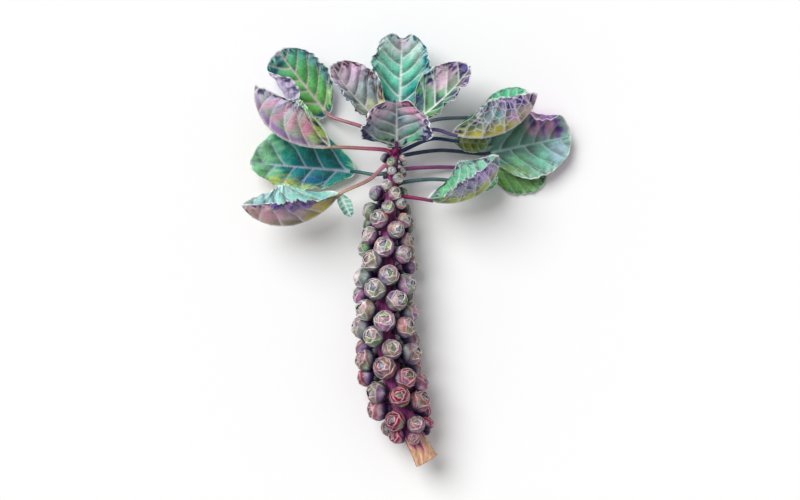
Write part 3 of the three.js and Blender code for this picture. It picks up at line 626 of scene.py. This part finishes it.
# where a blade's points lie, and what its veins and margins are there
def bladePlace(leaf, a, b, depth):
    ahead = unit(np.array(leaf["heading"], float))
    face = np.array(leaf.get("face", blade["face"]), float)
    face = unit(face - ahead * (face @ ahead))
    across = np.cross(ahead, face)
    end, rim, reach, spread = bladeReach(leaf, a, b)
    power = leaf.get("bendPower", blade["bendPower"])
    waves = leaf.get("waves", blade["waves"])

    def turnAt(share):
        return math.radians(leaf["bend"]) * share ** power

    forward, inward = 0, 0
    for k in range(blade["midribSteps"]):
        turn = turnAt((k + 0.5) / blade["midribSteps"] * reach)
        forward = forward + leaf["length"] * reach / blade["midribSteps"] * np.cos(turn)
        inward = inward + leaf["length"] * reach / blade["midribSteps"] * np.sin(turn)
    turn = turnAt(reach)[:, None]
    hollow = ahead * -np.sin(turn) + face * np.cos(turn)
    start = np.radians(np.where(b < 0, leaf["left"][0], leaf["right"][0]))
    curl = np.radians(np.where(b < 0, leaf["left"][1], leaf["right"][1]))
    curl = curl * reach ** np.where(b < 0, leaf.get("furl", 0), 0)
    stretch = spread / blade["curlSteps"] * leaf["width"] * np.where(b < 0, leaf.get("leftShare", 1), 1)
    sideways, lift, angle = 0, 0, start
    for k in range(blade["curlSteps"]):
        angle = start + curl * ((k + 0.5) / blade["curlSteps"] * spread) ** blade["curlPower"]
        sideways = sideways + np.cos(angle) * stretch
        lift = lift + np.sin(angle) * stretch
    angle = angle * smooth(np.abs(b), 0, blade["keel"])
    sign = np.where(b < 0, -1, 1)
    normal = hollow * np.cos(angle)[:, None] + across * (-sign * np.sin(angle))[:, None]
    flute = np.abs(b) ** 2.2 * np.sin(2 * math.pi * waves * a + sign + 2 * leaf["width"])
    wave = leaf["ripple"] * (flute + 0.6 * end ** 6 * np.sin(5 * b + leaf["length"]))

    # side veins leave the midrib in turn on either side and rise towards the tip
    x = stretch * blade["curlSteps"]
    y = reach * leaf["length"]
    side = leaf["length"] * blade["veinStep"]
    stray = blade["veinStray"] * np.sin(0.14 * x + leaf["seed"])
    drift = blade["veinDrift"] * np.sin(0.07 * y + 2 * leaf["seed"] + np.where(b < 0, 0, 2))
    rise = y - blade["veinRise"] * x - blade["veinBend"] * x * x - np.where(b < 0, 0, 0.5) * side
    row = (rise + stray + drift) / side
    off = np.abs(row - np.round(row)) * side * 0.8
    slim = blade["veinWidth"] * (1.3 - 0.8 * spread)
    present = smooth(row, -0.6, -0.2)
    vein = np.exp(-((off / slim) ** 2)) * present * (1 - 0.35 * spread)
    panel = row - np.floor(row)
    # a side vein forks towards the margin, once on either side
    for beside, forkAt, opening in ((panel, blade["forkAt"], 0.42), (1 - panel, blade["forkAt"] + 0.2, 0.3)):
        t = np.clip((spread - forkAt) / (1 - forkAt), 0, 1)
        away = np.abs(beside - opening * t) * side * 0.8
        fork = np.exp(-((away / slim * 1.3) ** 2)) * smooth(t, 0, 0.15)
        vein = np.maximum(vein, 0.75 * fork * present)
    midrib = np.exp(-((x / (blade["midribWidth"] * (1.25 - 0.9 * reach))) ** 2))
    fine = np.abs(b) ** 4 * np.sin(2 * math.pi * waves * 2.7 * a + 1.3 * sign)
    fine = blade["ruffle"] * (fine + 0.5 * np.clip(end, 0, 1) ** 6 * np.sin(11 * b))
    puff = (1 - np.exp(-((off / (side * 0.24)) ** 2))) * (1 - np.exp(-((x / 6) ** 2))) * (1 - rim ** 6)
    size = min(1, leaf["width"] / 40)
    thick = blade["thickness"] * (1 - 0.45 * smooth(rim, 0.75, 1))
    ridge = blade["rib"] * (midrib * (1 - reach) + 0.5 * vein) * (1 - rim ** 8)
    level = wave + size * (fine + blade["pucker"] * puff) - depth * (thick + ridge)
    places = np.array(leaf["base"], float) + ahead * forward[:, None] + face * inward[:, None]
    places = places + across * (sign * sideways)[:, None] + hollow * lift[:, None] + normal * level[:, None]
    return places, {"vein": vein, "midrib": midrib, "rim": rim, "reach": reach, "spread": spread,
                    "panel": panel, "x": sign * x, "y": y}


def bladeRule(leaf):
    sides = [[paint(*c) for c in leaf["inner"]], [paint(*c) for c in leaf.get("under", leaf["inner"])]]
    veinColour = paint(*leaf["vein"])
    pale = paint(236, 240, 236)
    seed = leaf["seed"]
    dark = leaf.get("dark", blade["dark"])

    def rule(a, b, depth):
        places, at = bladePlace(leaf, a, b, depth)
        base, middle, tip, keel, edge = sides[depth]
        wander = 0.11 * ripple(3 * a, 2.2 * b, seed)
        colour = blend(base[None, :], middle, smooth(at["reach"] + wander, 0.1, 0.4))
        colour = blend(colour, tip, smooth(at["reach"] + wander, 0.48, 0.85))
        nearKeel = np.exp(-(((at["spread"] + wander) / 0.4) ** 2))
        colour = blend(colour, keel, 0.85 * nearKeel * (1 - 0.5 * at["reach"]))
        for ahead, across, long, wide, shade in leaf.get(("innerWash", "underWash")[depth], []):
            stray = 0.3 * ripple(9 * a + ahead, 8 * b, seed + 2)
            far = np.hypot((at["reach"] - ahead) / long, (b - across) / wide) + stray
            colour = blend(colour, paint(*shade), 0.9 * (1 - smooth(far, 0.3, 1.3)))
        # each panel between two veins gets painted shade at one vein that lightens towards the next, and the
        # margin has broken dark strokes
        panelShade = 0.62 + 0.62 * smooth(at["panel"], 0.05, 0.75) + 0.2 * ripple(7 * a, 5 * b, seed + 3)
        colour = colour * panelShade[:, None]
        strokes = smooth(ripple(8 * a, 7 * b, seed + 5) + 0.3 * ripple(19 * a, 17 * b, seed), 0.02, 0.28)
        colour = blend(colour, edge, 0.95 * strokes * smooth(at["rim"], dark, dark + 0.18))
        colour = blend(colour, edge, 0.3 * smooth(at["rim"], 0.86, 0.96))
        colour = blend(colour, veinColour, 0.85 * at["vein"])
        colour = blend(colour, veinColour, 0.9 * at["midrib"])
        colour = blend(colour, pale, 0.85 * smooth(at["rim"], 0.95, 0.985))
        colour = vivid(colour, blade["vivid"])
        net = leaf.get("net", blade["net"]) * (1 if depth else 0.6) * (1 - at["midrib"])
        net = net * smooth(at["spread"], 0.04, 0.2)
        spots = metres(places)
        spots[:, 2] = np.maximum(spots[:, 2], 0 if depth else 0.0007)
        uvs = np.column_stack([at["x"], at["y"]]) * 0.01
        return spots, np.column_stack([np.clip(colour, 0, 1), net]), uvs

    return rule


def makeLeaf(name, leaf):
    bm, tint, uvMap = emptyMesh()
    share = max(0.4, min(1, leaf["width"] / blade["fullWidth"]))
    columns = int(blade["columns"] * share) // 2 * 2
    closedSheet(bm, tint, uvMap, columns, int(blade["rows"] * share), bladeRule(leaf))
    if "lobe" in leaf:
        closedSheet(bm, tint, uvMap, *blade["lobeGrid"], bladeRule(leaf["lobe"]))
    points = stalkPoints(leaf)
    near, far = (paint(*c) for c in leaf["stalk"])

    def path(t):
        return pathPoint(points, t)

    def thickness(t, angle):
        size = stalkRod["root"] + (stalkRod["end"] - stalkRod["root"]) * math.sqrt(t)
        return size * (1 + 0.06 * math.cos(3 * angle) + 0.35 * math.exp(-t * 14))

    def colour(t, angle):
        mixed = blend(stalkRod["magenta"], near, smooth(t, 0.03, 0.25))
        mixed = blend(mixed, far, smooth(t, 0.3, 0.95))
        return (*(mixed * (0.9 + 0.22 * math.sin(4 * angle + 3 * t))), 0.0)

    joinTo(bm, closedRod(stalkRod["sides"], stalkRod["rings"], path, thickness, colour, 150))
    for v in bm.verts:
        v.co.z = max(v.co.z, 0)
    piece = newPiece(name + "_look", bm, name)
    piece.data.materials.append(leafMaterial)
    "crown_leaf" if "crown" in name else "leaf"


for name, leaf in leaves.items():
    makeLeaf(name, leaf)
print("leaves made")


# one sprout of unit size, pointing up: a core wrapped in leaves, the outer over the inner
# a pair of values runs from the outermost wrapper to the innermost, and angles are in degrees
wrapper = {
    "large": {"kinds": 6, "wrappers": 9, "columns": 16, "rows": 8},
    "small": {"kinds": 3, "wrappers": 6, "columns": 12, "rows": 6},
    "wide": (84, 118), "top": (58, 10), "low": (146, 116), "shell": (1.0, 0.9),
    "thickness": 0.045, "thinning": 0.02, "lip": 0.055, "crinkle": 0.012, "rib": 0.014, "sideRib": 0.006,
    "core": 0.86, "coreHeight": 0.92, "stub": -1.32,
}


def sproutKind(kind, wrappers, columns, rows):
    bm, tint, uvMap = emptyMesh()
    core = bmesh.ops.create_uvsphere(bm, u_segments=14, v_segments=10, radius=1)["verts"]
    for v in core:
        size = wrapper["core"] - 0.5 * max(0, -0.6 - v.co.z)
        v.co = (v.co.x * size, v.co.y * size, v.co.z * wrapper["coreHeight"])
        v[tint] = (1.0, 0.55, 0.0, 0.5)
    for v in [v for v in core if v.co.z < -0.85]:
        v.co = (v.co.x * 1.1, v.co.y * 1.1, wrapper["stub"])
        v[tint] = (0.0, 0.0, 0.0, 0.5)
    for k in range(wrappers):
        inner = k / (wrappers - 1)
        azimuth = k * goldenAngle + kind * 1.3
        wide = np.interp(inner, (0, 1), wrapper["wide"]) + 8 * math.sin(kind * 2 + k * 3)
        top = np.interp(inner ** 0.8, (0, 1), wrapper["top"]) + 6 * math.sin(kind * 3 + k * 5)
        wide, top = math.radians(wide), math.radians(top)
        low = math.radians(np.interp(inner, (0, 1), wrapper["low"]))
        shell = np.interp(inner, (0, 1), wrapper["shell"])

        def rule(a, b, depth):
            a = a ** 0.75
            side = np.abs(b)
            margin = top + (low - top) * side ** 3.2 + 0.05 * np.sin(9 * b + 2 * k) * (1 - side ** 4)
            polar = low + (margin - low) * a
            turn = azimuth + b * wide
            lip = smooth(a, 0.72, 1) * (1 - 0.6 * side ** 2)
            middle = np.exp(-((b / 0.05) ** 2))
            branching = np.cos(26 * (a - 0.8 * side))
            relief = wrapper["rib"] * middle * (1 - a ** 4)
            relief = relief + wrapper["sideRib"] * branching * (1 - a ** 3) * (1 - side ** 3)
            relief = relief + lip * (wrapper["lip"] + wrapper["crinkle"] * np.sin(13 * b + 3 * k))
            size = shell + relief - depth * (wrapper["thickness"] - wrapper["thinning"] * lip)
            rise = np.where(polar < math.pi / 2, 1.1, 0.95)
            around = np.sin(polar) * (1 - 0.3 * smooth(polar, 1.9, 2.6))
            points = np.column_stack([around * np.cos(turn), around * np.sin(turn), np.cos(polar) * rise])
            points *= size[:, None]
            # red: how far in the wrapper is, green: how near its margin, blue: its ribs, alpha: how low
            ribs = middle * (1 - 0.5 * a) + 0.6 * smooth(branching, 0.8, 1) * (1 - side)
            ribs = np.clip(ribs, 0, 1) * (1 - a ** 6)
            near = np.maximum(a, side ** 3)
            down = np.clip(polar / math.pi, 0, 1)
            colours = np.column_stack([np.full_like(a, inner), near, ribs, down])
            return points, colours, np.column_stack([b, a])

        closedSheet(bm, tint, uvMap, columns, rows, rule)
    mesh = bpy.data.meshes.new("sproutKind" + str(kind))
    bm.to_mesh(mesh)
    bm.free()
    return mesh


# the wrappers' colours: outer and inner ones in turn, what they blend to at margins and ribs, and the
# painted shade at their feet and below the waist
sproutPaint = {
    "outer": np.array([paint(*c) for c in (
        (112, 144, 118), (168, 128, 154), (102, 130, 124), (134, 112, 156),
        (190, 142, 142), (92, 140, 96), (148, 144, 166), (146, 94, 136))]),
    "inner": np.array([paint(*c) for c in (
        (212, 206, 208), (164, 192, 138), (206, 172, 182), (194, 198, 212), (154, 178, 150))]),
    "rimPale": paint(246, 242, 242), "rimRed": paint(132, 16, 56), "rib": paint(236, 234, 236),
    # the dark purple on this line is painted shade, laid at the wrappers' feet and below each sprout's waist
    "paintedShade": paint(40, 22, 66), "green": paint(116, 160, 84), "plum": paint(104, 42, 96), "vivid": 1.2,
}


# a sprout's colours, from how far in each wrapper is, how near its margin, its ribs and how low it lies
def sproutTints(raw, place, height):
    low = 1 - float(smooth(height, -230, -70))
    high = float(smooth(height, 60, 110))
    i = place["i"]
    c = sproutPaint
    inner, near, ribs, polar = raw.T
    layer = np.round(inner * 8).astype(int)
    pick = int(chance(i, 6) * 8)
    first = c["outer"][(pick + layer * 3) % 8]
    second = c["outer"][(pick + 4 + layer) % 8]
    colour = blend(first, second, 0.3 + 0.3 * np.sin(layer * 2 + i))
    # the inner wrappers are paler: partly their own lighter colour, partly a painted highlight round the
    # sprout's tip
    core = c["inner"][(int(chance(i, 7) * 5) + layer) % 5]
    colour = blend(colour, core, 0.85 * smooth(inner, 0.3, 0.8) * (1 - 0.35 * low))
    colour = blend(colour, c["green"], (0.25 + 0.35 * high) * chance(i, 12) * smooth(near, 0.2, 0.6))
    plum = low * (0.35 + 0.5 * chance(i, 9)) * (1 - 0.5 * inner)
    colour = blend(colour, c["plum"], plum * (1 - smooth(near, 0.3, 0.9)))
    colour = blend(colour, c["rib"], 0.4 * ribs)
    # each wrapper gets painted shade towards its foot, where it tucks under the wrapper outside it, reddens
    # under its margin and ends in a thin pale line
    colour = blend(colour, c["paintedShade"], 0.9 * (1 - smooth(near, 0.12, 0.66)) * (0.62 + 0.38 * (inner < 0.2)))
    red = (0.12 + 0.3 * chance(i, 10) ** 2) * (1 - high) + 0.75 * low * (0.3 + 0.7 * chance(i, 11))
    colour = blend(colour, c["rimRed"], np.clip(red, 0, 1) * smooth(near, 0.68, 0.82))
    colour = blend(colour, c["rimPale"], (0.7 - 0.25 * low) * smooth(near, 0.92, 0.98) * (polar < 0.45))
    # below its waist a sprout is dark, where its neighbours and the stem shade it
    colour = blend(colour, c["paintedShade"], 0.95 * smooth(polar, 0.43, 0.6))
    return vivid(colour, c["vivid"])


def makeSprouts():
    meshes = {}
    for kindSize in ("large", "small"):
        w = wrapper[kindSize]
        meshes[kindSize] = [sproutKind(k, w["wrappers"], w["columns"], w["rows"]) for k in range(w["kinds"])]
    places = sproutPlaces()
    order = list(dict.fromkeys(place["group"] for place in places))
    names = {group: "sprouts_%02d" % (k + 1) for k, group in enumerate(order)}
    bands = {}
    for group in order:
        first = next(p["i"] for p in places if p["group"] == group)
        bands.setdefault(min(first // 20, 3), []).append(group)
    for band, groups in bands.items():
        bm = bmesh.new()
        bm.verts.layers.float_color.new("tint")
        for place in (p for p in places if p["group"] in groups):
            i = place["i"]
            kinds = meshes["small" if place["small"] else "large"]
            before = len(bm.verts)
            bm.from_mesh(kinds[i % len(kinds)])
            bm.verts.ensure_lookup_table()
            tint = bm.verts.layers.float_color["tint"]
            verts = bm.verts[before:]
            turn = Vector((0, 0, 1)).rotation_difference(Vector(place["points"])).to_matrix().to_4x4()
            spin = Matrix.Rotation(chance(i, 5) * 2 * math.pi, 4, "Z")
            size = Matrix.Scale(place["radius"] * 0.001, 4)
            move = Matrix.Translation(metres(place["centre"])) @ turn @ spin @ size
            raw = np.array([v[tint] for v in verts])
            colours = sproutTints(raw, place, place["centre"][1])
            for v, colour in zip(verts, colours):
                v.co = move @ v.co
                v.co.z = max(v.co.z, 0)
                v[tint] = (*np.clip(colour, 0, 1), 1)
        piece = newPiece("sproutBand%d" % (band + 1), bm, *[names[g] for g in groups])
        piece.data.materials.append(sproutMaterial)
    for mesh in meshes["large"] + meshes["small"]:
        bpy.data.meshes.remove(mesh)
    return places


places = makeSprouts()
print("sprouts made")


def makeStem():
    foot, tip = stem["foot"], stem["tip"]
    seats = []
    for place in places:
        y = heightOf(place["centre"])
        up, right, front = axisFrame(y)
        away = unit(place["centre"] - axisPoint(y))
        seats.append((y, math.atan2(away @ front, away @ right), place["radius"]))
    seats = np.array(seats)

    def path(t):
        return axisPoint(foot + (tip - foot) * t)

    def relief(y, angle):
        turn = np.angle(np.exp(1j * (angle - seats[:, 1])))
        size = along(stem["radii"], y)
        nearby = np.hypot(turn * size, y - seats[:, 0]) / (seats[:, 2] * 0.55)
        knuckle = float(np.exp(-(nearby ** 2)).sum())
        scar = np.hypot(turn * size, (y - seats[:, 0] + seats[:, 2] * 0.95) * 1.8) / (seats[:, 2] * 0.42)
        return knuckle, float(np.exp(-((scar - 0.7) ** 2) * 14).max())

    def peelLine(angle):
        ragged = 7 * math.sin(3 * angle) + 7 * math.sin(8 * angle + 1) + 4 * math.sin(13 * angle)
        return stem["peeled"] + ragged

    def thickness(t, angle):
        y = foot + (tip - foot) * t
        size = float(along(stem["radii"], y))
        knuckle, scar = relief(y, angle)
        ridges = 0.025 * math.sin(5 * angle + y * 0.02) + 0.012 * math.sin(11 * angle - y * 0.05)
        peel = 1.0 if y < peelLine(angle) else 0.0
        slivers = 0.02 * math.sin(11 * angle + 0.6 * math.sin(0.2 * y)) * peel
        swell = ridges + slivers - 0.05 * peel + 0.1 * min(1, knuckle) * (1 - peel)
        return size * (1 + swell) + 0.5 * scar * (1 - peel)

    def colour(t, angle):
        y = foot + (tip - foot) * t
        knuckle, scar = relief(y, angle)
        line = peelLine(angle)
        peel = 1 - float(smooth(y, line - 3, line + 5))
        streak = 0.5 + 0.5 * math.sin(9 * angle + 1.5 * math.sin(0.1 * y))
        skin = blend(stem["skin"], stem["blush"], 0.5 + 0.5 * math.sin(4 * angle + y * 0.03))
        # painted shade round each sprout's seat, where the sprout overhangs the stem, and the leaf scars
        # darkened in the same colour
        skin = blend(skin, stem["shade"], 0.35 * min(1, knuckle) + 0.25 * scar)
        wood = blend(stem["wood"], stem["woodDark"], 0.5 * streak)
        return (*blend(skin, wood, peel), 1)

    bm = closedRod(stem["sides"], stem["rings"], path, thickness, colour, tip - foot)
    # the cut is ringed from its dark rim to the pale pith
    tint = bm.verts.layers.float_color["tint"]
    low = min((f for f in bm.faces if len(f.verts) > 8), key=lambda f: f.calc_center_median().y)
    middle = low.calc_center_median()
    for share, shade in ((0.93, "woodDark"), (0.8, "wood"), (0.55, "pith"), (0.3, "wood")):
        bmesh.ops.inset_region(bm, faces=[low], thickness=0.0001)
        for v in low.verts:
            v.co = middle + (v.co - middle).normalized() * stem["cutRadius"] * 0.001 * share
            v[tint] = (*stem[shade], 1)
    bmesh.ops.poke(bm, faces=[low])
    piece = newPiece("stem_look", bm, "stem")
    piece.data.materials.append(stemMaterial)


makeStem()
print("stem made")

# a pale floor under it, soft lights over it, and the camera looking straight down
studio = {
    "floorSize": 40, "floor": (0.95, 0.95, 0.95), "floorDrop": 0.0004, "world": 0.4,
    "sun": 2.65, "sunWidth": 40, "sunFrom": (-0.55, 0.6, 1.0),
    "cameraHeight": 2.83, "lens": 85, "aim": (-0.0123, 0.00035, 0.06),
}


def makeStudio():
    bm = bmesh.new()
    bmesh.ops.create_grid(bm, x_segments=1, y_segments=1, size=studio["floorSize"])
    mesh = bpy.data.meshes.new("floor")
    bm.to_mesh(mesh)
    bm.free()
    mesh.transform(Matrix.Translation((0, 0, -studio["floorDrop"])))
    floor = addObject("floor", mesh)
    material = bpy.data.materials.new("paperFloor")
    material.use_nodes = True
    shader = material.node_tree.nodes["Principled BSDF"].inputs
    shader["Base Color"].default_value = (*studio["floor"], 1)
    shader["Roughness"].default_value = 0.9
    mesh.materials.append(material)
    world = bpy.data.worlds.new("studio")
    world.use_nodes = True
    background = world.node_tree.nodes["Background"].inputs
    background["Color"].default_value = (1, 1, 1, 1)
    background["Strength"].default_value = studio["world"]
    bpy.context.scene.world = world
    bpy.context.scene.view_settings.view_transform = "Standard"
    lamp = bpy.data.lights.new("sun", "SUN")
    lamp.energy = studio["sun"]
    lamp.angle = math.radians(studio["sunWidth"])
    addObject("sun", lamp).rotation_euler = Vector(studio["sunFrom"]).to_track_quat("Z", "Y").to_euler()
    cameraData = bpy.data.cameras.new("camera")
    cameraData.lens = studio["lens"]
    cameraData.sensor_width = 36
    camera = addObject("camera", cameraData)
    camera.location = Vector(studio["aim"]) + Vector((0, 0, studio["cameraHeight"]))
    bpy.context.scene.camera = camera


makeStudio()
print("studio made")
